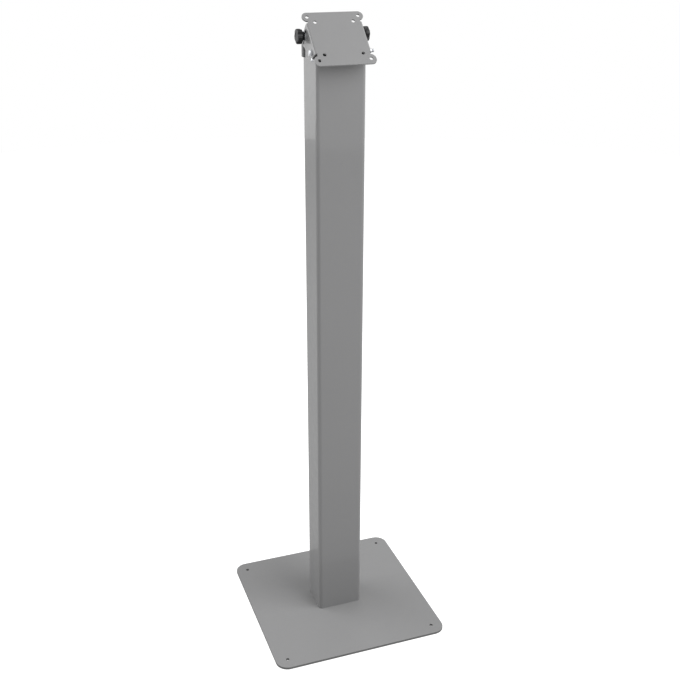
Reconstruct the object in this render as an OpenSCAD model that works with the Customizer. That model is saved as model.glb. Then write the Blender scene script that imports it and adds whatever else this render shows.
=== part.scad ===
// Adjustable tablet floor stand: a square base plate, a rectangular tube column and a tilting
// tablet plate that two hand knobs clamp. Millimetres, +X right, +Y back, +Z up.
// The origin is the middle of the footprint on the floor.

/* [Base] */
// Side of the square base plate
base_side = 390; // [300:5:500]
// Thickness of the base plate
base_t = 5; // [4:1:10]
// Radius of the plate's rounded corners
base_corner_r = 26; // [10:1:60]
// Floor fixing hole, for an M6 screw
base_hole_d = 7; // [5:0.5:10]
// Distance of each fixing hole from the two nearest edges
base_hole_inset = 26; // [18:1:40]
// Diameter of the rubber foot pads
foot_d = 32; // [20:1:45]
// Thickness of the rubber foot pads
foot_t = 1.5; // [1:0.5:4]
// Distance of each pad's centre from the two nearest edges
foot_inset = 56; // [50:1:80]

/* [Column] */
// Width of the column tube, left to right
column_w = 100; // [80:1:120]
// Depth of the column tube, front to back
column_d = 80; // [64:1:100]
// Length of the column tube
column_h = 1250; // [600:0.5:1500]
// Wall of the tube
column_wall = 2; // [1.5:0.5:3]
// Outer corner radius of the tube
column_corner_r = 8; // [5:0.5:12]
// How far the column stands behind the middle of the base
column_setback = 7.5; // [0:0.5:40]
// Depth of the opening in the column's front wall, which the tilting plate swings over
column_notch = 26; // [24:0.5:40]
// Thickness of the threaded plate welded into the foot of the tube
foot_plate_t = 8; // [6:1:14]
// Spacing of the foot screws, left to right
foot_screw_dx = 60; // [40:1:64]
// Spacing of the foot screws, front to back
foot_screw_dy = 44; // [30:1:46]
// Height of the cable hole above the base, in the back of the column
cable_hole_z = 60; // [40:5:200]
// Bore of the cable grommet
grommet_bore_d = 20; // [12:1:28]

/* [Tilting plate] */
// Diameter of the tablet mounting holes
vesa_hole_d = 7; // [4.5:0.1:8]
// Thickness of the plate's sheet steel
plate_t = 2.5; // [2:0.5:3]
// Radius of the round ears at the plate's corners
ear_r = 10; // [8:0.5:12]
// Extra sheet below the lower ears
plate_lower_lip = 2; // [1:0.5:6]
// Outer radius of the bends between the plate and its side flanges
bend_r = 4; // [3.5:0.5:6]
// Top end of the side flanges, above the plate's centre
flange_top = 36; // [32:0.5:37]
// Bottom end of the side flanges, below the plate's centre
flange_bottom = 34; // [30:0.5:37]
// Radius of the flanges' upper rear corner
flange_corner_r = 9; // [6:0.5:12]
// Reach of the flanges' slotted end, about the pivot
flange_rim_r = 55.5; // [54.5:0.5:58]
// Round boss of the flange around the pivot
flange_boss_r = 9; // [8:0.5:10]

/* [Tilt mechanism] */
// Lean of the plate from the vertical, as drawn
tilt_deg = 46.5; // [40:0.5:50]
// How far the plate can be set more upright than drawn
tilt_up_deg = 15; // [5:0.5:17.5]
// How far the plate can be laid flatter than drawn
tilt_down_deg = 12.5; // [0:0.5:12.5]
// Pivot axis behind the column's front face
pivot_setback = 10; // [9:0.5:10.5]
// Pivot axis below the top of the column
pivot_drop = 7; // [6.5:0.5:9]
// Plate centre above the pivot, measured along the plate
plate_rise = 20; // [18:0.5:26]
// Plate face in front of the pivot, measured square to the plate
plate_reach = 15.5; // [15.5:0.5:18]
// Pivot bolt thread
pivot_d = 6; // [5:1:6]
// Distance from the pivot to the clamping studs
clamp_r = 48.5; // [46:0.5:49]
// Angle of the clamping studs above the horizontal, seen from the pivot
clamp_elevation = 32; // [28:0.5:34]
// Clamping stud thread
stud_d = 6; // [5:1:6]
// Sheet of the fixed yoke
yoke_t = 2; // [1.5:0.5:3]
// Lowest edge of the yoke below the top of the column
yoke_drop = 21.5; // [18:0.5:40]
// How far the yoke's cheeks reach forward beside the column
yoke_return = 15; // [12:0.5:20]
// Thickness of the friction discs between the yoke and the flanges
disc_t = 0.4; // [0.3:0.1:1]
// Diameter of the friction discs around the pivot
pivot_disc_d = 23; // [16:0.5:23]
// Diameter of the hand knobs
knob_d = 28; // [24:0.5:30]
// Length of the hand knobs
knob_l = 14.5; // [12:0.5:18]
// Number of finger lobes around a knob
knob_lobes = 5; // [5:1:7]

/* [Hidden] */
$fn = 64;

// Clearances
skin_gap = 0.1;       // sheet laid on a tube, and flat faces that slide
run_gap = 0.05;       // a hole that turns on its pin
free_gap = 0.3;       // a hole that a screw passes freely
eps = 0.02;           // overshoot of a cut
tuck = 0.004;         // a straight side's depth inside the arc that it runs into

// Heights and the column's place
floor_z = foot_t;
base_top = floor_z + base_t;
column_top = base_top + column_h;
column_front = column_setback - column_d / 2;
column_back = column_setback + column_d / 2;
column_in_r = column_corner_r - column_wall;

// Pivot and clamp axes, as [y, z] seen from the side
pivot = [column_front + pivot_setback, column_top - pivot_drop];
clamp = pivot + clamp_r * [cos(clamp_elevation), sin(clamp_elevation)];

// Layers beside the column, from the inside out
yoke_in = column_w / 2 + skin_gap;
yoke_out = yoke_in + yoke_t;
flange_in = yoke_out + disc_t + 2 * run_gap;
flange_out = flange_in + plate_t;

// Pitch of the two standard square patterns of tablet mounting holes
outer_pitch = 100;
inner_pitch = 75;

// Cap: a tray sunk into the column's mouth, open at the front
cap_t = 3;
cap_rim_t = 2;
cap_w = column_w - 2 * column_wall - 2 * skin_gap;
cap_d = column_d - 2 * column_wall - 2 * skin_gap;
cap_floor = column_top - column_notch - 1;
cap_side_h = 13;        // rim beside the pivot, above the floor
cap_back_h = 20;        // rim at the back, above the floor
cap_front_gap = 12;     // from the tray's front edge to its rim
cable_slot_w = 44;
cable_slot_d = 18;
cable_slot_r = 8;
cable_slot_inset = 15;  // from the cap's rear edge
notch_side = 6;         // wall left at each side of the front opening
notch_r = 5;

// Metric screws, by thread diameter
m5 = 5;
m8 = 8;
pivot_washer_t = 1;
pivot_washer_d = 2 * pivot_d;
pivot_head_l = 2 / 3 * pivot_d;
pivot_nut_l = pivot_d;
pivot_tip_l = 5;
hex_flats = 5 / 3 * pivot_d;
spacer_t = 1;           // wall of the pivot's spacer tube
spacer_play = 1;        // play at each end of the spacer, which clears the tube's rounded inner corners
stud_washer_t = 1.6;
stud_washer_d = 3 * stud_d;
stud_nut_l = 5;
screw_head_d = 9.5;
screw_head_l = 2.8;
screw_tip_l = 3;        // past the nut
screw_nut_l = 4;
screw_nut_flats = 8;
side_screw = [pivot[0] + 10.5, cap_floor + 6.5];
rear_screw_dx = 44;
rear_screw_z = cap_floor + 13;
clamp_boss_r = 9.5;
knob_hub_d = 16;
knob_start = flange_out + run_gap + stud_washer_t + run_gap;
knob_end = knob_start + knob_l;

// Flat shapes

module rounded_rect(w, d, r) {
    square([w - 2 * r, d], center = true);
    square([w, d - 2 * r], center = true);
    for (sx = [-1, 1], sy = [-1, 1])
        translate([sx * (w / 2 - r), sy * (d / 2 - r)])
            circle(r);
}

// A link between two round bosses, with straight sides that run into both
module link(a, ra, b, rb) {
    span = norm(b - a);
    dir = atan2(b[1] - a[1], b[0] - a[0]);
    lean = acos((ra - rb) / span);
    function rim(c, r, t) = c + (r - tuck) * [cos(dir + t), sin(dir + t)];
    translate(a) circle(ra);
    translate(b) circle(rb);
    polygon([rim(a, ra, lean), rim(b, rb, lean), rim(b, rb, -lean), rim(a, ra, -lean)]);
}

module hexagon(flats) {
    circle(d = flats / cos(30), $fn = 6);
}

// Draws a side view, given as [y, z], as a slab between two x values
module slab(x0, x1) {
    translate([x0, 0, 0])
        rotate([90, 0, 90])
            linear_extrude(x1 - x0)
                children();
}

// A round bar along x, at [y, z]
module bar_x(at, r, x0, x1) {
    translate([x0, at[0], at[1]])
        rotate([0, 90, 0])
            cylinder(r = r, h = x1 - x0);
}

// A hexagonal bar along x, at [y, z]
module hex_x(at, flats, x0, x1) {
    translate([x0, at[0], at[1]])
        rotate([0, 90, 0])
            linear_extrude(x1 - x0)
                hexagon(flats);
}

module both_sides() {
    children();
    mirror([1, 0, 0]) children();
}

module in_column() {
    translate([0, column_setback, 0]) children();
}

// Base

module base_hole_places(inset) {
    for (sx = [-1, 1], sy = [-1, 1])
        translate([sx * (base_side / 2 - inset), sy * (base_side / 2 - inset), 0])
            children();
}

module foot_screw_places() {
    for (sx = [-1, 1], sy = [-1, 1])
        translate([sx * foot_screw_dx / 2, column_setback + sy * foot_screw_dy / 2, 0])
            children();
}

csk_l = 4.4;

module base_plate() {
    color("silver")
        difference() {
            translate([0, 0, floor_z])
                linear_extrude(base_t)
                    rounded_rect(base_side, base_side, base_corner_r);
            base_hole_places(base_hole_inset)
                translate([0, 0, floor_z - 1])
                    cylinder(d = base_hole_d, h = base_t + 2);
            foot_screw_places() {
                translate([0, 0, floor_z - 1])
                    cylinder(r = m8 / 2 + free_gap, h = base_t + 2);
                translate([0, 0, floor_z - eps])
                    cylinder(r1 = m8 + free_gap, r2 = m8 / 2 + free_gap, h = csk_l);
            }
        }
}

module foot_pads() {
    color("dimgray")
        base_hole_places(foot_inset)
            cylinder(d = foot_d, h = foot_t);
}

module base_screws() {
    top = base_top + foot_plate_t;
    color("silver")
        foot_screw_places() {
            translate([0, 0, floor_z])
                cylinder(r1 = m8, r2 = m8 / 2, h = csk_l);
            translate([0, 0, floor_z + csk_l - eps])
                cylinder(r = m8 / 2, h = top - floor_z - csk_l + eps);
        }
}

// Column

module column_tube() {
    color("darkgray")
        difference() {
            in_column()
                translate([0, 0, base_top])
                    linear_extrude(column_h)
                        difference() {
                            rounded_rect(column_w, column_d, column_corner_r);
                            rounded_rect(column_w - 2 * column_wall, column_d - 2 * column_wall, column_in_r);
                        }
            translate([0, column_back, base_top + cable_hole_z])
                rotate([90, 0, 0])
                    cylinder(d = grommet_bore_d + 8, h = 4 * column_wall, center = true);
            bar_x(side_screw, m5 / 2 + free_gap, -column_w, column_w);
            bar_x(pivot, pivot_d / 2 + skin_gap, -column_w, column_w);
            rear_screw_places()
                cylinder(r = m5 / 2 + free_gap, h = 4 * column_wall, center = true);
            translate([0, column_front + column_corner_r, column_top])
                rotate([90, 0, 0])
                    linear_extrude(2 * column_corner_r)
                        rounded_rect(column_w - 2 * notch_side, 2 * column_notch, notch_r);
        }
}

module column_foot_plate() {
    color("gray")
        difference() {
            in_column()
                translate([0, 0, base_top])
                    linear_extrude(foot_plate_t)
                        rounded_rect(column_w - 2 * column_wall - 2 * skin_gap,
                                     column_d - 2 * column_wall - 2 * skin_gap, column_in_r);
            foot_screw_places()
                translate([0, 0, base_top - 1])
                    cylinder(r = m8 / 2 + run_gap, h = foot_plate_t + 2);
        }
}

module cable_grommet() {
    bore = grommet_bore_d / 2;
    neck = bore + 4 - run_gap;
    lip = neck + 3;
    lip_t = 2;
    half = column_wall / 2 + run_gap;
    color("dimgray")
        translate([0, column_back - column_wall / 2, base_top + cable_hole_z])
            rotate([90, 0, 0])
                rotate_extrude()
                    difference() {
                        translate([bore, -half - lip_t]) square([lip - bore, 2 * (half + lip_t)]);
                        translate([neck, -half]) square([lip, 2 * half]);
                    }
}

// A tray in the mouth of the tube, with a rounded slot that the tablet's cable leaves by
module top_cap() {
    module ring(h) {
        linear_extrude(h)
            difference() {
                rounded_rect(cap_w, cap_d, column_in_r);
                rounded_rect(cap_w - 2 * cap_rim_t, cap_d - 2 * cap_rim_t, column_in_r - cap_rim_t);
            }
    }
    color("dimgray")
        difference() {
            in_column()
                translate([0, 0, cap_floor - cap_t])
                    difference() {
                        union() {
                            linear_extrude(cap_t) rounded_rect(cap_w, cap_d, column_in_r);
                            difference() {
                                ring(cap_t + cap_side_h);
                                translate([-cap_w, -cap_d / 2 - 1, cap_t])
                                    cube([2 * cap_w, cap_front_gap + 1, cap_side_h + 1]);
                            }
                            intersection() {
                                ring(cap_t + cap_back_h);
                                translate([-cap_w, cap_d / 2 - column_in_r, 0])
                                    cube([2 * cap_w, column_in_r + 1, cap_t + cap_back_h + 1]);
                            }
                        }
                        translate([0, cap_d / 2 - cable_slot_inset - cable_slot_d / 2, -1])
                            linear_extrude(cap_t + 2)
                                rounded_rect(cable_slot_w, cable_slot_d, cable_slot_r);
                    }
            bar_x(side_screw, m5 / 2 + free_gap, -column_w, column_w);
            rear_screw_places()
                cylinder(r = m5 / 2 + free_gap, h = 6 * column_wall, center = true);
        }
}

// Fixed yoke, bent around the back of the column, whose two arms carry the clamping studs

module rear_screw_places() {
    for (s = [-1, 1])
        translate([s * rear_screw_dx / 2, column_back, rear_screw_z])
            rotate([-90, 0, 0])
                children();
}

module yoke_side_view() {
    bottom = column_top - yoke_drop;
    rear = column_back + skin_gap + yoke_t;
    front = rear - yoke_return;
    low_r = 4;
    high = [rear - 8, column_top + 4];
    past = 1;
    hull() {
        translate(clamp) circle(clamp_boss_r);
        translate(high) circle(7.5);
        translate([front + 1, column_top]) circle(1);
    }
    translate(high) square([8 + past, 5]);
    translate([front, bottom + low_r]) square([rear + past - front, high[1] - bottom - low_r + 1]);
    translate([front, bottom]) square([rear - low_r - front, low_r + 1]);
    translate([rear - low_r, bottom + low_r]) circle(low_r + tuck);
}

module head_yoke() {
    bend_out_r = 3.5;
    channel_d = 3 * clamp_r;
    color("#303030")
        difference() {
            intersection() {
                translate([0, column_back + skin_gap + yoke_t - channel_d / 2, column_top - channel_d])
                    linear_extrude(2 * channel_d)
                        difference() {
                            rounded_rect(2 * yoke_out, channel_d, bend_out_r);
                            rounded_rect(2 * yoke_in, channel_d - 2 * yoke_t, bend_out_r - yoke_t);
                        }
                slab(-column_w, column_w) yoke_side_view();
            }
            bar_x(clamp, stud_d / 2 + free_gap, -column_w, column_w);
            rear_screw_places()
                cylinder(r = m5 / 2 + free_gap, h = 8 * yoke_t, center = true);
        }
}

// A domed screw along +z, its head's seat at z = 0
module dome_screw(l) {
    dome_r = (pow(screw_head_d / 2, 2) + pow(screw_head_l, 2)) / (2 * screw_head_l);
    difference() {
        intersection() {
            cylinder(d = screw_head_d, h = screw_head_l);
            translate([0, 0, screw_head_l - dome_r]) sphere(dome_r);
        }
        translate([0, 0, screw_head_l - 1.6]) linear_extrude(2) hexagon(3);
    }
    translate([0, 0, -l]) cylinder(d = m5, h = l + eps);
}

screw_grip = column_wall + skin_gap + cap_rim_t;
screw_past = screw_nut_l + screw_tip_l;

module yoke_side_screws() {
    color("lightgray")
        both_sides()
            translate([column_w / 2, side_screw[0], side_screw[1]])
                rotate([0, 90, 0])
                    dome_screw(screw_grip + screw_past);
}

module yoke_rear_screws() {
    color("lightgray")
        rear_screw_places()
            translate([0, 0, skin_gap + yoke_t])
                dome_screw(skin_gap + yoke_t + screw_grip + screw_past);
}

// Nuts inside the cap's rim, behind each screw
module yoke_nuts() {
    seat = column_w / 2 - screw_grip;
    color("lightgray") {
        both_sides()
            difference() {
                hex_x(side_screw, screw_nut_flats, seat - screw_nut_l, seat);
                bar_x(side_screw, m5 / 2 + run_gap, 0, column_w);
            }
        rear_screw_places()
            translate([0, 0, -screw_grip - screw_nut_l])
                linear_extrude(screw_nut_l)
                    difference() {
                        hexagon(screw_nut_flats);
                        circle(m5 / 2 + run_gap);
                    }
    }
}

// Tilting plate: one sheet with ears, bent back at both sides into slotted flanges.
// It is drawn upright about the pivot: x across, y back, z up the plate.

function polar(r, t) = r * [sin(t), cos(t)];
slot_mid = 90 - tilt_deg - clamp_elevation;
slot_slack = 1;
slot_from = slot_mid - tilt_down_deg - slot_slack;
slot_to = slot_mid + tilt_up_deg + slot_slack;
face_y = -plate_reach;

module tilted() {
    translate([0, pivot[0], pivot[1]])
        rotate([-tilt_deg, 0, 0])
            children();
}

module plate_face() {
    side = flange_out - bend_r;
    half = outer_pitch / 2;
    low = -half - plate_lower_lip;
    translate([-side, -half]) square([2 * side, outer_pitch]);
    translate([-half, low - ear_r]) square([2 * half, half + ear_r - low + ear_r]);
    translate([-half - ear_r, low]) square([2 * (half + ear_r), plate_lower_lip]);
    for (s = [-1, 1], z = [half, -half, low])
        translate([s * half, z]) circle(ear_r);
}

// Side view of a flange, as [y, z] from the pivot, running on through the plate
module flange_view() {
    top = plate_rise + flange_top;
    low = plate_rise - flange_bottom;
    front = face_y + bend_r;
    corner = [polar(clamp_r, slot_mid)[0], top - flange_corner_r];
    end = polar(clamp_r, slot_to);
    end_r = flange_rim_r - clamp_r;
    link(corner, flange_corner_r, end, end_r);
    link(end, end_r, [0, 0], flange_boss_r);
    link([0, 0], flange_boss_r, [front, low + 1], 1);
    polygon([[face_y - 1, low], [face_y - 1, top], [corner[0], top], corner, end, [0, 0], [front, low + 1], [front, low]]);
}

module arc_slot() {
    w = stud_d / 2 + free_gap;
    intersection() {
        difference() {
            circle(clamp_r + w - tuck);
            circle(clamp_r - w + tuck);
        }
        polygon([[0, 0], polar(2 * clamp_r, slot_from), polar(2 * clamp_r, slot_to)]);
    }
    for (t = [slot_from, slot_to])
        translate(polar(clamp_r, t)) circle(w);
}

module tilt_plate() {
    channel_d = 3 * clamp_r;
    color("lightgray")
        tilted()
            difference() {
                union() {
                    translate([0, face_y + plate_t, plate_rise])
                        rotate([90, 0, 0])
                            linear_extrude(plate_t)
                                plate_face();
                    intersection() {
                        translate([0, face_y + channel_d / 2, -channel_d / 2])
                            linear_extrude(channel_d)
                                difference() {
                                    rounded_rect(2 * flange_out, channel_d, bend_r);
                                    rounded_rect(2 * flange_in, channel_d - 2 * plate_t, bend_r - plate_t);
                                }
                        slab(-channel_d, channel_d) flange_view();
                    }
                }
                slab(-channel_d, channel_d) arc_slot();
                bar_x([0, 0], pivot_d / 2 + run_gap, -channel_d, channel_d);
                for (pitch = [outer_pitch, inner_pitch], sx = [-1, 1], sz = [-1, 1])
                    translate([sx * pitch / 2, face_y - 1, plate_rise + sz * pitch / 2])
                        rotate([-90, 0, 0])
                            cylinder(d = vesa_hole_d, h = plate_t + 2);
            }
}

// Pivot: one bolt through both flanges and the column's side walls

pivot_seat = flange_out + run_gap;

module pivot_bolt() {
    head = pivot_seat + pivot_washer_t;
    color("lightgray") {
        hex_x(pivot, hex_flats, -head - pivot_head_l, -head);
        bar_x(pivot, pivot_d / 2, -head - eps, head + pivot_nut_l + pivot_tip_l);
    }
}

module pivot_nut() {
    seat = pivot_seat + pivot_washer_t;
    collar_l = 2;
    color("lightgray")
        difference() {
            union() {
                hex_x(pivot, hex_flats, seat, seat + pivot_nut_l - collar_l);
                bar_x(pivot, hex_flats / 2 - 0.8, seat + pivot_nut_l - collar_l - eps, seat + pivot_nut_l);
            }
            bar_x(pivot, pivot_d / 2 + run_gap, 0, 2 * column_w);
        }
}

module pivot_washers() {
    color("lightgray")
        both_sides()
            difference() {
                bar_x(pivot, pivot_washer_d / 2, pivot_seat, pivot_seat + pivot_washer_t);
                bar_x(pivot, pivot_d / 2 + skin_gap, 0, 2 * column_w);
            }
}

// A tube inside the column, which keeps its walls apart under the bolt
module pivot_spacer() {
    half = column_w / 2 - column_wall - spacer_play;
    bore = pivot_d / 2 + skin_gap;
    color("silver")
        difference() {
            bar_x(pivot, bore + spacer_t, -half, half);
            bar_x(pivot, bore, -column_w, column_w);
        }
}

// Nylon discs under the flanges: thick ones on the column at the pivot, thin ones on the yoke's arms
module friction_discs() {
    x0 = column_w / 2 + run_gap;
    x1 = yoke_out + run_gap;
    color("dimgray")
        both_sides() {
            difference() {
                bar_x(pivot, pivot_disc_d / 2, x0, x1 + disc_t);
                bar_x(pivot, pivot_d / 2 + skin_gap, 0, column_w);
            }
            difference() {
                bar_x(clamp, clamp_boss_r - 0.5, x1, x1 + disc_t);
                bar_x(clamp, stud_d / 2 + free_gap, 0, column_w);
            }
        }
}

// Clamp: on each side a knob's stud passes the flange's slot and screws into a nut on the cheek

module clamp_nuts() {
    color("lightgray")
        both_sides()
            difference() {
                hex_x(clamp, 10, yoke_in - stud_nut_l, yoke_in);
                bar_x(clamp, stud_d / 2 + run_gap, 0, column_w);
            }
}

module stud_right() {
    color("lightgray")
        bar_x(clamp, stud_d / 2, yoke_in - stud_nut_l - 3, knob_end - 4);
}

module stud_washer_right() {
    color("lightgray")
        difference() {
            bar_x(clamp, stud_washer_d / 2, flange_out + run_gap, flange_out + run_gap + stud_washer_t);
            bar_x(clamp, stud_d / 2 + skin_gap, 0, column_w);
        }
}

// Knob: a round hub that flares out to a lobed grip with a domed face
module knob(turn) {
    grip_l = 9;
    dome = 1.6;
    r = knob_d / 2;
    valley = 3;
    scoop_r = r / 2;
    blind = 4;
    color("#202020")
        translate([knob_start, clamp[0], clamp[1]])
            rotate([0, 90, 0])
                rotate(turn)
                    difference() {
                        rotate_extrude()
                            polygon([[0, 0], [knob_hub_d / 2, 0], [knob_hub_d / 2, 1.5], [r - 1, knob_l - grip_l - 1],
                                     [r, knob_l - grip_l], [r, knob_l - dome], [r - dome, knob_l - 0.4],
                                     [r / 2, knob_l], [0, knob_l]]);
                        for (i = [0 : knob_lobes - 1])
                            rotate(i * 360 / knob_lobes)
                                translate([r - valley + scoop_r, 0, 1.5])
                                    cylinder(r = scoop_r, h = knob_l);
                        translate([0, 0, -1])
                            cylinder(r = stud_d / 2 + eps, h = knob_l - blind + 1 + eps);
                    }
}

module knob_right() {
    knob(0);
}

module stud_left() {
    mirror([1, 0, 0]) stud_right();
}

module stud_washer_left() {
    mirror([1, 0, 0]) stud_washer_right();
}

module knob_left() {
    mirror([1, 0, 0]) knob(180 / knob_lobes);
}

base_plate();
foot_pads();
column_tube();
column_foot_plate();
base_screws();
cable_grommet();
top_cap();
head_yoke();
yoke_side_screws();
yoke_rear_screws();
yoke_nuts();
tilt_plate();
pivot_bolt();
pivot_spacer();
pivot_washers();
pivot_nut();
friction_discs();
clamp_nuts();
stud_left();
stud_right();
stud_washer_left();
stud_washer_right();
knob_left();
knob_right();
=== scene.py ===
import math

import bmesh
import bpy
from mathutils import Matrix, Vector


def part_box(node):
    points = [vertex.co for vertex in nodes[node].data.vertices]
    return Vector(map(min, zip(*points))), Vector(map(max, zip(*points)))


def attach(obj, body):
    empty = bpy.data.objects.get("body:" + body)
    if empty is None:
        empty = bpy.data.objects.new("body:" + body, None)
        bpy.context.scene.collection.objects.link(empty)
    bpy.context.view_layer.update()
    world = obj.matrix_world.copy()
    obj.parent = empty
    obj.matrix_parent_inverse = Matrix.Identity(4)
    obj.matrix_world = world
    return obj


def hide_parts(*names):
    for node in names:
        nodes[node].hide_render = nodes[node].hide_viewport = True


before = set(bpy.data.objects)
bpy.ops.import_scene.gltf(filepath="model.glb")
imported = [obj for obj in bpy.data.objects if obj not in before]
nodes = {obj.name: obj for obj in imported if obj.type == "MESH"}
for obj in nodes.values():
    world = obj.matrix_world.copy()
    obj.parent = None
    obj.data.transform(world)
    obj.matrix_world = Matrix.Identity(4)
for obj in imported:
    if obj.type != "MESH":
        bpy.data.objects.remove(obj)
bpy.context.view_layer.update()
scene = bpy.context.scene
MM = 0.001
TAU = 2 * math.pi


# Camera, fitted to the base's outline, the column's edges and the plate's holes

PHOTO_PX = 680.0
FOCAL_PX = 997.09
SENSOR_MM = 36.0
CAMERA_PLACE = Vector((-0.63932, -1.81069, 1.48496))
CAMERA_AHEAD = Vector((0.31014, 0.86535, -0.39368)).normalized()
CAMERA_ROLL = math.radians(0.1229)


def photo_camera():
    """The photograph's camera."""
    level = CAMERA_AHEAD.cross(Vector((0, 0, 1))).normalized()
    upright = level.cross(CAMERA_AHEAD)
    right = level * math.cos(CAMERA_ROLL) + upright * math.sin(CAMERA_ROLL)
    up = upright * math.cos(CAMERA_ROLL) - level * math.sin(CAMERA_ROLL)
    data = bpy.data.cameras.new("photo_camera")
    data.sensor_width = SENSOR_MM
    data.lens = SENSOR_MM * FOCAL_PX / PHOTO_PX
    data.clip_start, data.clip_end = 0.05, 50
    camera = bpy.data.objects.new("photo_camera", data)
    scene.collection.objects.link(camera)
    turn = Matrix((right, up, -CAMERA_AHEAD)).transposed().to_4x4()
    camera.matrix_world = Matrix.Translation(CAMERA_PLACE) @ turn
    scene.camera = camera


photo_camera()


# Shader building blocks

# Sockets of a Mix node that mixes colours
MIX_FACTOR, MIX_A, MIX_B, MIX_OUT = 0, 6, 7, 2


def fresh_tree(owner):
    """A material's or world's node tree, emptied."""
    owner.use_nodes = True
    owner.node_tree.nodes.clear()
    return owner.node_tree


def material(name):
    m = bpy.data.materials.new(name)
    t = fresh_tree(m)
    out = t.nodes.new("ShaderNodeOutputMaterial")
    shader = t.nodes.new("ShaderNodeBsdfPrincipled")
    t.links.new(shader.outputs[0], out.inputs[0])
    return m, t, shader


def coordinates(t, scale=(1, 1, 1)):
    c = t.nodes.new("ShaderNodeTexCoord")
    m = t.nodes.new("ShaderNodeMapping")
    m.inputs["Scale"].default_value = scale
    t.links.new(c.outputs["Object"], m.inputs["Vector"])
    return m.outputs["Vector"]


def noise(t, where, scale, detail=3.0, rough=0.5):
    """Noise with about scale lumps to the metre."""
    n = t.nodes.new("ShaderNodeTexNoise")
    n.inputs["Scale"].default_value = scale
    n.inputs["Detail"].default_value = detail
    n.inputs["Roughness"].default_value = rough
    t.links.new(where, n.inputs["Vector"])
    return n.outputs["Fac"]


def spread(t, value, low=0.0, high=1.0, from_low=0.3, from_high=0.7):
    """value mapped so that from_low..from_high becomes low..high."""
    r = t.nodes.new("ShaderNodeMapRange")
    r.inputs["From Min"].default_value = from_low
    r.inputs["From Max"].default_value = from_high
    r.inputs["To Min"].default_value = low
    r.inputs["To Max"].default_value = high
    t.links.new(value, r.inputs["Value"])
    return r.outputs["Result"]


def blend(t, fac, a, b):
    """Colour a where fac is 0 and b where it is 1. Each is a number or colour, or a socket that gives one."""
    m = t.nodes.new("ShaderNodeMix")
    m.data_type = "RGBA"
    for socket, colour in ((m.inputs[MIX_A], a), (m.inputs[MIX_B], b)):
        if hasattr(colour, "links"):
            t.links.new(colour, socket)
        else:
            socket.default_value = (*colour, 1)
    if hasattr(fac, "links"):
        t.links.new(fac, m.inputs[MIX_FACTOR])
    else:
        m.inputs[MIX_FACTOR].default_value = fac
    return m.outputs[MIX_OUT]


def toned(tone, by):
    return tuple(min(1.0, c * by) for c in tone)


def varied(t, value, tone, share):
    """tone, darker by share where value is low and lighter by share where it is high."""
    return blend(t, spread(t, value), toned(tone, 1 - share), toned(tone, 1 + share))


def bump(t, shader, height, strength, distance, under=None):
    b = t.nodes.new("ShaderNodeBump")
    b.inputs["Strength"].default_value = strength
    b.inputs["Distance"].default_value = distance
    t.links.new(height, b.inputs["Height"])
    if under is not None:
        t.links.new(under, b.inputs["Normal"])
    t.links.new(b.outputs["Normal"], shader.inputs["Normal"])
    return b.outputs["Normal"]


def edge_mask(t, radius):
    """1 on sharp edges and 0 on flat faces, from the difference between the true and the rounded normal."""
    bevel = t.nodes.new("ShaderNodeBevel")
    bevel.samples = 4
    bevel.inputs["Radius"].default_value = radius
    geometry = t.nodes.new("ShaderNodeNewGeometry")
    dot = t.nodes.new("ShaderNodeVectorMath")
    dot.operation = "DOT_PRODUCT"
    t.links.new(bevel.outputs["Normal"], dot.inputs[0])
    t.links.new(geometry.outputs["Normal"], dot.inputs[1])
    return spread(t, dot.outputs["Value"], 1.0, 0.0, from_low=0.8, from_high=0.99)


def upright_mask(t):
    """1 on upright faces and 0 on level ones."""
    geometry = t.nodes.new("ShaderNodeNewGeometry")
    parts = t.nodes.new("ShaderNodeSeparateXYZ")
    size = t.nodes.new("ShaderNodeMath")
    size.operation = "ABSOLUTE"
    t.links.new(geometry.outputs["True Normal"], parts.inputs[0])
    t.links.new(parts.outputs["Z"], size.inputs[0])
    return spread(t, size.outputs[0], 1.0, 0.0, from_low=0.3, from_high=0.8)


# Materials

def powder_coat(name, tone, rough=0.36, gloss=0.0, shine=0.5, side_shade=None):
    """Satin powder coat: an orange-peel skin, a fine fleck, faint clouding, and edges painted slightly
    lighter, partly as rubbed wear and partly as a painted highlight.
    gloss is the weight of the smooth top layer, which mirrors the room faintly, and side_shade the share of
    the tone that upright faces, such as a level plate's cut edges, keep as painted shade."""
    m, t, s = material(name)
    at = coordinates(t)
    clouds = noise(t, at, scale=5.0, detail=4.0)
    flecks = noise(t, at, scale=1500.0, detail=2.0)
    colour = blend(t, 0.5, varied(t, clouds, tone, 0.03), varied(t, flecks, tone, 0.06))
    # Edges painted lighter: partly rubbed wear, partly a painted highlight.
    rubbed_and_highlit = spread(t, edge_mask(t, 0.6 * MM), high=0.35, from_low=0.0, from_high=1.0)
    colour = blend(t, rubbed_and_highlit, colour, toned(tone, 1.35))
    # Upright faces painted darker: painted shade.
    if side_shade is not None:
        colour = blend(t, upright_mask(t), colour, toned(tone, side_shade))
    t.links.new(colour, s.inputs["Base Color"])
    t.links.new(spread(t, noise(t, at, scale=60.0), rough - 0.04, rough + 0.05), s.inputs["Roughness"])
    s.inputs["Specular IOR Level"].default_value = shine
    s.inputs["Coat Weight"].default_value = gloss
    s.inputs["Coat Roughness"].default_value = 0.06
    s.inputs["Coat IOR"].default_value = 1.5
    peel = bump(t, s, noise(t, at, scale=420.0, detail=2.0), strength=0.10, distance=0.4 * MM)
    bump(t, s, noise(t, at, scale=1800.0, detail=1.0), strength=0.06, distance=0.1 * MM, under=peel)
    return m


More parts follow.
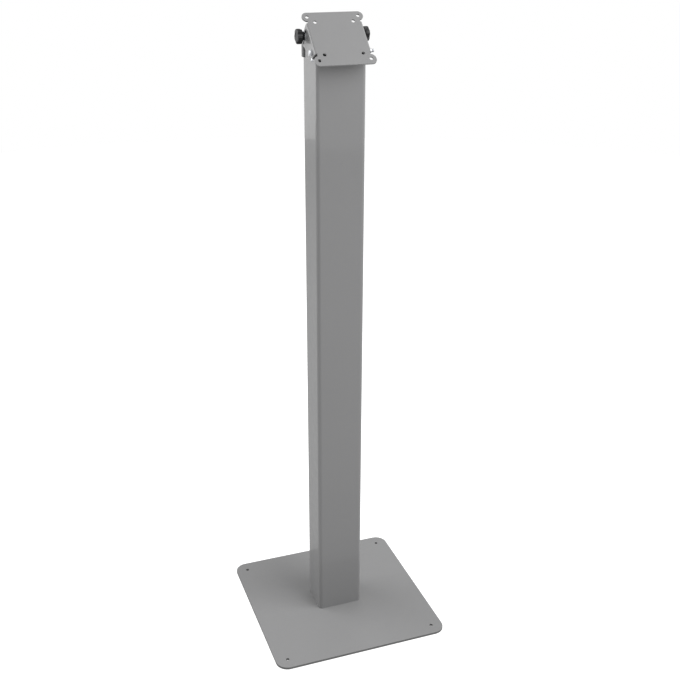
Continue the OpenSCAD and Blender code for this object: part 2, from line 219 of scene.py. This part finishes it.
def moulded(name, tone, rough=0.42, grain=0.3, shine=0.5):
    """Moulded plastic or rubber with a fine spark-eroded grain, and edges painted paler, partly as rubbed
    wear and partly as a painted highlight.
    """
    m, t, s = material(name)
    at = coordinates(t)
    flat = varied(t, noise(t, at, scale=40.0), tone, 0.15)
    # Edges painted paler: partly rubbed wear, partly a painted highlight.
    rubbed_and_highlit = spread(t, edge_mask(t, 0.5 * MM), high=0.5, from_low=0.0, from_high=1.0)
    t.links.new(blend(t, rubbed_and_highlit, flat, toned(tone, 2.2)), s.inputs["Base Color"])
    t.links.new(spread(t, noise(t, at, scale=300.0), rough - 0.06, rough + 0.08), s.inputs["Roughness"])
    s.inputs["Specular IOR Level"].default_value = shine
    bump(t, s, noise(t, at, scale=2600.0, detail=2.0), strength=grain, distance=0.1 * MM)
    return m


def metal(name, tone, rough, streak=None):
    """Plated or mill-finish metal: a cloudy tone, and fine pits, or rolling marks where streak gives their
    stretch along each axis."""
    m, t, s = material(name)
    s.inputs["Metallic"].default_value = 1.0
    at = coordinates(t)
    t.links.new(varied(t, noise(t, at, scale=180.0, detail=4.0), tone, 0.06), s.inputs["Base Color"])
    haze = noise(t, at, scale=500.0, detail=4.0, rough=0.6)
    t.links.new(spread(t, haze, rough - 0.08, rough + 0.10), s.inputs["Roughness"])
    if streak is not None:
        bump(t, s, noise(t, coordinates(t, streak), scale=900.0), strength=0.15, distance=0.1 * MM)
    else:
        bump(t, s, noise(t, at, scale=1400.0, detail=2.0), strength=0.12, distance=0.1 * MM)
    return m


grey = powder_coat("grey_powder_coat", (0.222, 0.222, 0.224), gloss=0.55)
# The base's coat is the column's grey made rougher and less shiny, and painted lighter to make up for the
# reflected light it then lacks; its upright sides carry painted shade.
matt_grey_painted_lighter = powder_coat("matt_powder_coat_painted_lighter", (0.268, 0.268, 0.27), rough=0.55, shine=0.3, side_shade=0.55)
# The yoke's coat is painted near black: painted shade, for the shade behind the flange and under the plate.
painted_shade_coat = powder_coat("dark_powder_coat", (0.06, 0.06, 0.062), rough=0.4)
black = moulded("black_nylon", (0.018, 0.018, 0.019))
knob_black = moulded("knob_black", (0.009, 0.009, 0.01), shine=0.3)
rubber = moulded("rubber", (0.02, 0.02, 0.02), rough=0.7, grain=0.6)
nylon = moulded("nylon", (0.03, 0.03, 0.03), rough=0.5)
zinc = metal("zinc_plate", (0.58, 0.59, 0.61), rough=0.24)
steel = metal("mill_steel", (0.45, 0.45, 0.46), rough=0.38, streak=(1, 40, 1))

# Every node that isn't named here is zinc plated
finishes = {
    "base_plate": matt_grey_painted_lighter, "column_tube": grey, "tilt_plate": grey, "head_yoke": painted_shade_coat,
    "foot_pads": rubber, "cable_grommet": rubber, "top_cap": black, "friction_discs": nylon,
    "knob_left": knob_black, "knob_right": knob_black, "column_foot_plate": steel,
}

for name, o in nodes.items():
    o.data.materials.clear()
    o.data.materials.append(finishes.get(name, zinc))


# Edges of CAD nodes, broken as deburring and coating do

EDGE_MM = {
    "base_plate": 0.5, "tilt_plate": 0.3, "foot_pads": 0.3, "head_yoke": 0.2, "column_tube": 0.2,
    "pivot_washers": 0.2, "stud_washer_left": 0.25, "stud_washer_right": 0.25,
}
SHARPEST_SMOOTH = math.radians(35)

for name, width in EDGE_MM.items():
    m = nodes[name].modifiers.new("edges", "BEVEL")
    m.width = width * MM
    m.segments = 2
    m.limit_method = "ANGLE"
    m.angle_limit = SHARPEST_SMOOTH
    m.harden_normals = False
    m.use_clamp_overlap = True


# Meshes of turned and threaded pieces, in millimetres

HEX = math.radians(60)          # one side of a hexagon, seen from its middle
FACE_R = 0.475                  # radius of the flat on a hexagon's end, over its width across flats
PLAY = 0.02                     # of a thread in its nut
POINT_R = 0.01                  # the last ring of a shape that closes in its middle
WELD = 1e-7                     # vertices closer than this are one


def hexagon(flats):
    """Radius of a hexagon, given across its flats, at an angle."""
    return lambda a: flats / 2 / math.cos((a + HEX / 2) % HEX - HEX / 2)


def hex_chamfer(flats, top, sense=1):
    """Height of the 30 degree cone that rounds a hexagon's corners off at an end face."""
    corner = hexagon(flats)
    return lambda a: top - sense * (corner(a) - FACE_R * flats) * math.tan(math.radians(30))


def mesh_object(name, verts, faces, finish, sharp=30):
    """A smooth-shaded mesh whose edges stay crisp where they turn by more than sharp degrees."""
    mesh = bpy.data.meshes.new(name)
    mesh.from_pydata(verts, [], faces)
    mesh.validate()
    work = bmesh.new()
    work.from_mesh(mesh)
    bmesh.ops.remove_doubles(work, verts=work.verts, dist=WELD)
    bmesh.ops.recalc_face_normals(work, faces=work.faces)
    for edge in work.edges:
        edge.smooth = len(edge.link_faces) == 2 and edge.calc_face_angle(0.0) < math.radians(sharp)
    for face in work.faces:
        face.smooth = True
    work.to_mesh(mesh)
    work.free()
    mesh.materials.append(finish)
    o = bpy.data.objects.new(name, mesh)
    scene.collection.objects.link(o)
    return o


def rings_mesh(rings, closed, steps=72):
    """Rings of (radius, height), each a number or a function of the angle, skinned in order.
    closed joins the last ring to the first; otherwise both ends are capped."""
    def value(v, a):
        return v(a) if callable(v) else v
    verts, faces = [], []
    for radius, height in rings:
        for i in range(steps):
            a = TAU * i / steps
            r = value(radius, a)
            verts.append((r * math.cos(a), r * math.sin(a), value(height, a)))
    n = len(rings)
    for k in range(n if closed else n - 1):
        for i in range(steps):
            j = (i + 1) % steps
            low, high = k * steps, (k + 1) % n * steps
            faces.append((low + i, low + j, high + j, high + i))
    if not closed:
        faces.append(tuple(range(steps))[::-1])
        faces.append(tuple(range((n - 1) * steps, n * steps)))
    return verts, faces


def thread_rings(d, pitch, low, high):
    """Rings of a right-hand thread from low to high, with a 45 degree lead-in at the high end."""
    depth = 0.61 * pitch
    flank = 1.25            # slope of the groove's sides, which leaves a narrow crest
    rings_per_turn = 10
    count = max(2, math.ceil((high - low) / pitch * rings_per_turn))
    rings = []
    for k in range(count + 1):
        z = low + (high - low) * k / count
        limit = d / 2 - max(0.0, depth - (high - z))

        def radius(a, z=z, limit=limit):
            phase = (z / pitch - a / TAU) % 1.0
            groove = max(0.0, 1 - abs(2 * phase - 1) * flank)
            return min(d / 2 - depth * groove, limit)
        rings.append((radius, z))
    return rings


def threaded_bar(name, d, pitch, thread_from, high, finish):
    """A plain shank from z = 0, threaded from thread_from up to high."""
    chamfer, gap = 0.3, 0.01
    rings = [(d / 2 - chamfer, 0), (d / 2, chamfer), (d / 2, thread_from - gap)]
    rings += thread_rings(d, pitch, thread_from, high)
    return mesh_object(name, *rings_mesh(rings, closed=False), finish, sharp=50)


def hex_nut(name, flats, length, thread_d, finish):
    """A nut from z = 0 to length, chamfered at both faces, its bore countersunk."""
    bore, sink, face_r = thread_d / 2 + PLAY, 0.45, FACE_R * flats
    rings = [(bore + sink, 0), (face_r, 0), (hexagon(flats), hex_chamfer(flats, 0, -1)),
             (hexagon(flats), hex_chamfer(flats, length)), (face_r, length), (bore + sink, length),
             (bore, length - sink), (bore, sink)]
    return mesh_object(name, *rings_mesh(rings, closed=True), finish)


def lock_nut(name, flats, length, thread_d, finish):
    """A hexagon with a round collar that holds the locking ring."""
    bore, sink, face_r = thread_d / 2 + PLAY, 0.4, FACE_R * flats
    collar_r, collar_l, foot, round_r, round_steps = flats / 2 - 0.85, 2, 0.15, 0.8, 4
    mouth_r, mouth_depth = collar_r - 1.1, 0.5
    hex_l = length - collar_l
    rings = [(bore + sink, 0), (face_r, 0), (hexagon(flats), hex_chamfer(flats, 0, -1)),
             (hexagon(flats), hex_chamfer(flats, hex_l)), (face_r, hex_l), (collar_r, hex_l + foot)]
    for k in range(round_steps + 1):
        t = math.radians(90 * k / round_steps)
        rings.append((collar_r - round_r + round_r * math.cos(t), length - round_r + round_r * math.sin(t)))
    rings += [(mouth_r, length), (mouth_r, length - mouth_depth), (bore, length - mouth_depth), (bore, sink)]
    return mesh_object(name, *rings_mesh(rings, closed=True), finish)


def hex_head(name, flats, length, finish):
    """A bolt's head from z = 0: a washer face, a hexagon with chamfered corners, and a shallow dish."""
    face_r, washer_l = FACE_R * flats, 0.3
    dish_r, dish_depth, dish_floor = 0.6 * face_r, 0.12, 0.15
    rings = [(face_r, 0), (face_r, washer_l), (hexagon(flats), washer_l),
             (hexagon(flats), hex_chamfer(flats, length)), (face_r, length),
             (dish_r, length - dish_depth), (POINT_R, length - dish_floor)]
    return mesh_object(name, *rings_mesh(rings, closed=False), finish)


def dome_head(name, d, length, socket, finish):
    """A button head from z = 0, with a hexagon socket."""
    rim, step, land, arc_steps = 0.25, 0.05, 0.25, 8
    least_rise = 0.02           # of each ring of the dome, so that no two share a height at the rim
    lead_in, socket_depth, cone_depth = 0.2, 1.6, 2.0
    dome_r = ((d / 2) ** 2 + length ** 2) / (2 * length)
    centre = length - dome_r
    arc_from = math.asin((d / 2 - step) / dome_r)
    arc_to = math.asin((socket / 2 / math.cos(HEX / 2) + land) / dome_r)
    rings = [(d / 2 - rim, 0), (d / 2, rim)]
    for k in range(arc_steps + 1):
        t = arc_from + (arc_to - arc_from) * k / arc_steps
        z = max(rim + least_rise * (k + 1), centre + dome_r * math.cos(t))
        rings.append((dome_r * math.sin(t), z))
    top = rings[-1][1]
    rings += [(hexagon(socket), top - lead_in), (hexagon(socket), length - socket_depth),
              (POINT_R, length - cone_depth)]
    return mesh_object(name, *rings_mesh(rings, closed=False), finish)


# Placing

SIDES = (("left", -1), ("right", 1))


def placed(o, at, axis, turn=0.0):
    """Bakes a place into a mesh drawn along +z: at is where its z = 0 goes, the level axis where its +z
    points, and its +x points down."""
    ahead, down = Vector(axis), Vector((0, 0, -1))
    aim = Matrix((down, ahead.cross(down), ahead)).transposed().to_4x4()
    spin = Matrix.Rotation(turn, 4, "Z")
    o.data.transform(Matrix.Translation(Vector(at) * MM) @ aim @ spin @ Matrix.Scale(MM, 4))
    return o


def joined(name, parts, body, node):
    """Several meshes made into one piece that rides on a body and stands for a CAD node."""
    bpy.ops.object.select_all(action="DESELECT")
    for o in parts:
        o.select_set(True)
    bpy.context.view_layer.objects.active = parts[0]
    if len(parts) > 1:
        bpy.ops.object.join()
    whole = bpy.context.view_layer.objects.active
    whole.name = name
    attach(whole, body)
    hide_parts(node)


def box_mm(node):
    """Middle, lowest and highest corner of a node's box at rest, in millimetres."""
    low, high = (Vector(c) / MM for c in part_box(node))
    return (low + high) / 2, low, high


def span_mm(node):
    """Middle of a node's box, and how far out from the middle of the stand the box begins and ends."""
    middle, low, high = box_mm(node)
    return middle, *sorted((abs(low.x), abs(high.x)))


# Screws and nuts

M6, M6_PITCH, M6_FLATS = 6.0, 1.0, 10.0
M5, M5_PITCH, M5_FLATS = 5.0, 0.8, 8.0
PIVOT_HEAD_L = 4.0
PIVOT_THREAD_L = 22
HEAD_TURN, LOCKNUT_TURN = math.radians(8), math.radians(20)
PLAIN_L = 1.0                   # of a stud or screw before its thread
CLAMP_NUT_L = 5.0
BUTTON_D, BUTTON_L, SOCKET = 9.5, 2.8, 3.0
SCREW_GRIP, SCREW_NUT_L, SCREW_TIP_L = 4.1, 4.0, 3.0

# Pivot bolt: hexagon head on the left, locknut on the right
pivot, bolt_low, bolt_high = box_mm("pivot_bolt")
seat = bolt_low.x + PIVOT_HEAD_L
bolt_l = bolt_high.x - seat
head = hex_head("pivot_head", M6_FLATS, PIVOT_HEAD_L, zinc)
shank = threaded_bar("pivot_shank", M6, M6_PITCH, bolt_high.x - PIVOT_THREAD_L - seat, bolt_l, zinc)
joined("pivot_bolt_threaded", [
    placed(head, (seat, pivot.y, pivot.z), (-1, 0, 0), HEAD_TURN),
    placed(shank, (seat, pivot.y, pivot.z), (1, 0, 0)),
], "stand", "pivot_bolt")

_, nut_low, nut_high = box_mm("pivot_nut")
nut = lock_nut("pivot_locknut", M6_FLATS, nut_high.x - nut_low.x, M6, zinc)
joined("pivot_locknut", [placed(nut, (nut_low.x, pivot.y, pivot.z), (1, 0, 0), LOCKNUT_TURN)],
       "stand", "pivot_nut")

# Clamp: studs, and the nuts on the inside of the yoke's arms
for side, s in SIDES:
    stud, tip, root = span_mm("stud_" + side)
    bar = threaded_bar("stud_bar_" + side, M6, M6_PITCH, PLAIN_L, root - tip, zinc)
    joined("stud_threaded_" + side, [placed(bar, (s * root, stud.y, stud.z), (-s, 0, 0))],
           side + "_knob", "stud_" + side)

clamp, _, clamp_high = box_mm("clamp_nuts")
joined("clamp_nuts_chamfered", [
    placed(hex_nut("clamp_nut_" + side, M6_FLATS, CLAMP_NUT_L, M6, zinc),
           (s * (clamp_high.x - CLAMP_NUT_L), clamp.y, clamp.z), (s, 0, 0))
    for side, s in SIDES
], "stand", "clamp_nuts")


def button_screw(name, at, axis, length):
    """Head and shank of a screw whose head's seat is at a point and points along the axis."""
    head = dome_head(name + "_head", BUTTON_D, BUTTON_L, SOCKET, zinc)
    shank = threaded_bar(name + "_shank", M5, M5_PITCH, PLAIN_L, length, zinc)
    return [placed(head, at, axis), placed(shank, at, tuple(-c for c in axis))]


# Button-head screws of the yoke and the cap, with their nuts in the column's mouth
side_mid, _, side_high = box_mm("yoke_side_screws")
side_seat = side_high.x - BUTTON_L
screws = []
for side, s in SIDES:
    screws += button_screw("side_screw_" + side, (s * side_seat, side_mid.y, side_mid.z), (s, 0, 0),
                           SCREW_GRIP + SCREW_NUT_L + SCREW_TIP_L)
joined("side_screws_threaded", screws, "stand", "yoke_side_screws")

rear_mid, rear_low, rear_high = box_mm("yoke_rear_screws")
rear_seat = rear_high.y - BUTTON_L
rear_dx = rear_high.x - BUTTON_D / 2
screws = []
for side, s in SIDES:
    screws += button_screw("rear_screw_" + side, (s * rear_dx, rear_seat, rear_mid.z), (0, 1, 0),
                           rear_seat - rear_low.y)
joined("rear_screws_threaded", screws, "stand", "yoke_rear_screws")

_, _, nuts_high = box_mm("yoke_nuts")
nuts = []
for side, s in SIDES:
    nut = hex_nut("side_nut_" + side, M5_FLATS, SCREW_NUT_L, M5, zinc)
    nuts.append(placed(nut, (s * (nuts_high.x - SCREW_NUT_L), side_mid.y, side_mid.z), (s, 0, 0)))
    nut = hex_nut("rear_nut_" + side, M5_FLATS, SCREW_NUT_L, M5, zinc)
    nuts.append(placed(nut, (s * rear_dx, nuts_high.y - SCREW_NUT_L, rear_mid.z), (0, 1, 0)))
joined("cap_nuts_chamfered", nuts, "stand", "yoke_nuts")


# Hand knobs

LOBES = 5
GRIP_R = 14.0
HUB_R = 8.0
VALLEY = 3.0                    # depth of the hollow between two lobes
SCOOP_R = 7.0                   # radius of that hollow, seen along the knob
SCOOP_FROM = 1.5                # height above which the lobes begin
LOBE_BLEND = 1.4                # over which a lobe's edge is rounded
KNOB_STEPS = 180

# Radius and height: the hub, the flare under the lobes, their outside, and the domed and dished face
KNOB_PROFILE = (
    (HUB_R - 0.3, 0.0), (HUB_R, 0.3), (HUB_R, SCOOP_FROM), (HUB_R + 0.5, 2.1), (HUB_R + 2.4, 3.2),
    (GRIP_R - 2.2, 4.0), (GRIP_R - 0.9, 4.7), (GRIP_R - 0.25, 5.4), (GRIP_R, 6.2), (GRIP_R, 9.5),
    (GRIP_R, 12.2), (GRIP_R - 0.25, 13.0), (GRIP_R - 0.8, 13.6), (GRIP_R - 1.7, 14.0), (GRIP_R - 4.0, 14.25),
    (7.4, 14.45), (6.9, 14.5), (6.4, 14.4), (6.0, 14.1), (3.0, 14.0), (POINT_R, 14.0),
)


def soft_min(a, b, k):
    """The smaller of two lengths, blended over about k so that they meet in a rounded edge."""
    h = max(k - abs(a - b), 0.0) / k
    return min(a, b) - h * h * k / 4


def star_knob(name, turn):
    """A moulded star knob from z = 0: a round hub that flares to a lobed grip."""
    centre = GRIP_R - VALLEY + SCOOP_R

    def lobed(limit):
        def radius(a):
            off = (a - turn + math.pi / LOBES) % (TAU / LOBES) - math.pi / LOBES
            reach = SCOOP_R ** 2 - (centre * math.sin(off)) ** 2
            if reach <= 0:
                return limit
            return soft_min(limit, centre * math.cos(off) - math.sqrt(reach), LOBE_BLEND)
        return radius

    rings = [(lobed(r) if z > SCOOP_FROM and r > HUB_R else r, z) for r, z in KNOB_PROFILE]
    return mesh_object(name, *rings_mesh(rings, closed=False, steps=KNOB_STEPS), knob_black, sharp=60)


KNOB_TURN = {"left": math.pi / LOBES, "right": 0.0}
for side, s in SIDES:
    _, start, _ = span_mm("knob_" + side)
    stud, _, _ = span_mm("stud_" + side)
    knob = star_knob("star_" + side, KNOB_TURN[side])
    joined("star_knob_" + side, [placed(knob, (s * start, stud.y, stud.z), (s, 0, 0))],
           side + "_knob", "knob_" + side)


# Floor, background and light

FLOOR_R = 5.075
FLOOR_MIDDLE = (0, 0.16, 0)
AIM = (0, 0, 0.8)


def pale_floor(name, tone, glow):
    """Matt paper. The camera sees it lit from behind as well, so that only the darkest of a shadow shows."""
    m = bpy.data.materials.new(name)
    t = fresh_tree(m)
    out = t.nodes.new("ShaderNodeOutputMaterial")
    matt = t.nodes.new("ShaderNodeBsdfDiffuse")
    light = t.nodes.new("ShaderNodeEmission")
    both = t.nodes.new("ShaderNodeAddShader")
    mix = t.nodes.new("ShaderNodeMixShader")
    path = t.nodes.new("ShaderNodeLightPath")
    matt.inputs["Color"].default_value = (*tone, 1)
    light.inputs["Color"].default_value = (1, 1, 1, 1)
    light.inputs["Strength"].default_value = glow
    t.links.new(matt.outputs[0], both.inputs[0])
    t.links.new(light.outputs[0], both.inputs[1])
    t.links.new(path.outputs["Is Camera Ray"], mix.inputs[0])
    t.links.new(matt.outputs[0], mix.inputs[1])
    t.links.new(both.outputs[0], mix.inputs[2])
    t.links.new(mix.outputs[0], out.inputs[0])
    return m


def studio_world(tone, strength):
    """Even white room, which the camera, mirrors and glass see as plain white."""
    scene.world = bpy.data.worlds.new("studio")
    t = fresh_tree(scene.world)
    out = t.nodes.new("ShaderNodeOutputWorld")
    back = t.nodes.new("ShaderNodeBackground")
    seen = t.nodes.new("ShaderNodeBackground")
    mix = t.nodes.new("ShaderNodeMixShader")
    path = t.nodes.new("ShaderNodeLightPath")
    mirrored = t.nodes.new("ShaderNodeMath")
    plain = t.nodes.new("ShaderNodeMath")
    mirrored.operation = plain.operation = "MAXIMUM"
    back.inputs["Color"].default_value = (*tone, 1)
    back.inputs["Strength"].default_value = strength
    seen.inputs["Color"].default_value = (1, 1, 1, 1)
    t.links.new(path.outputs["Is Glossy Ray"], mirrored.inputs[0])
    t.links.new(path.outputs["Is Transmission Ray"], mirrored.inputs[1])
    t.links.new(path.outputs["Is Camera Ray"], plain.inputs[0])
    t.links.new(mirrored.outputs[0], plain.inputs[1])
    t.links.new(plain.outputs[0], mix.inputs[0])
    t.links.new(back.outputs[0], mix.inputs[1])
    t.links.new(seen.outputs[0], mix.inputs[2])
    t.links.new(mix.outputs[0], out.inputs[0])


def softbox(name, place, size, power):
    data = bpy.data.lights.new(name, "AREA")
    data.shape = "RECTANGLE"
    data.size, data.size_y = size
    data.energy = power
    o = bpy.data.objects.new(name, data)
    scene.collection.objects.link(o)
    o.location = place
    o.rotation_euler = (Vector(AIM) - Vector(place)).to_track_quat("-Z", "Y").to_euler()


bpy.ops.mesh.primitive_circle_add(vertices=96, radius=FLOOR_R, fill_type="NGON", location=FLOOR_MIDDLE)
floor = bpy.context.object
floor.name = "studio_floor"
floor.data.materials.append(pale_floor("studio_floor", (0.59, 0.59, 0.59), glow=0.85))
studio_world((0.9, 0.9, 0.9), strength=0.52)
softbox("left_softbox", (-2.6, 1.5, 2.0), size=(3.2, 3.4), power=68)
softbox("right_softbox", (1.7, -1.8, 2.9), size=(3.0, 2.6), power=99)

scene.view_settings.view_transform = "Standard"
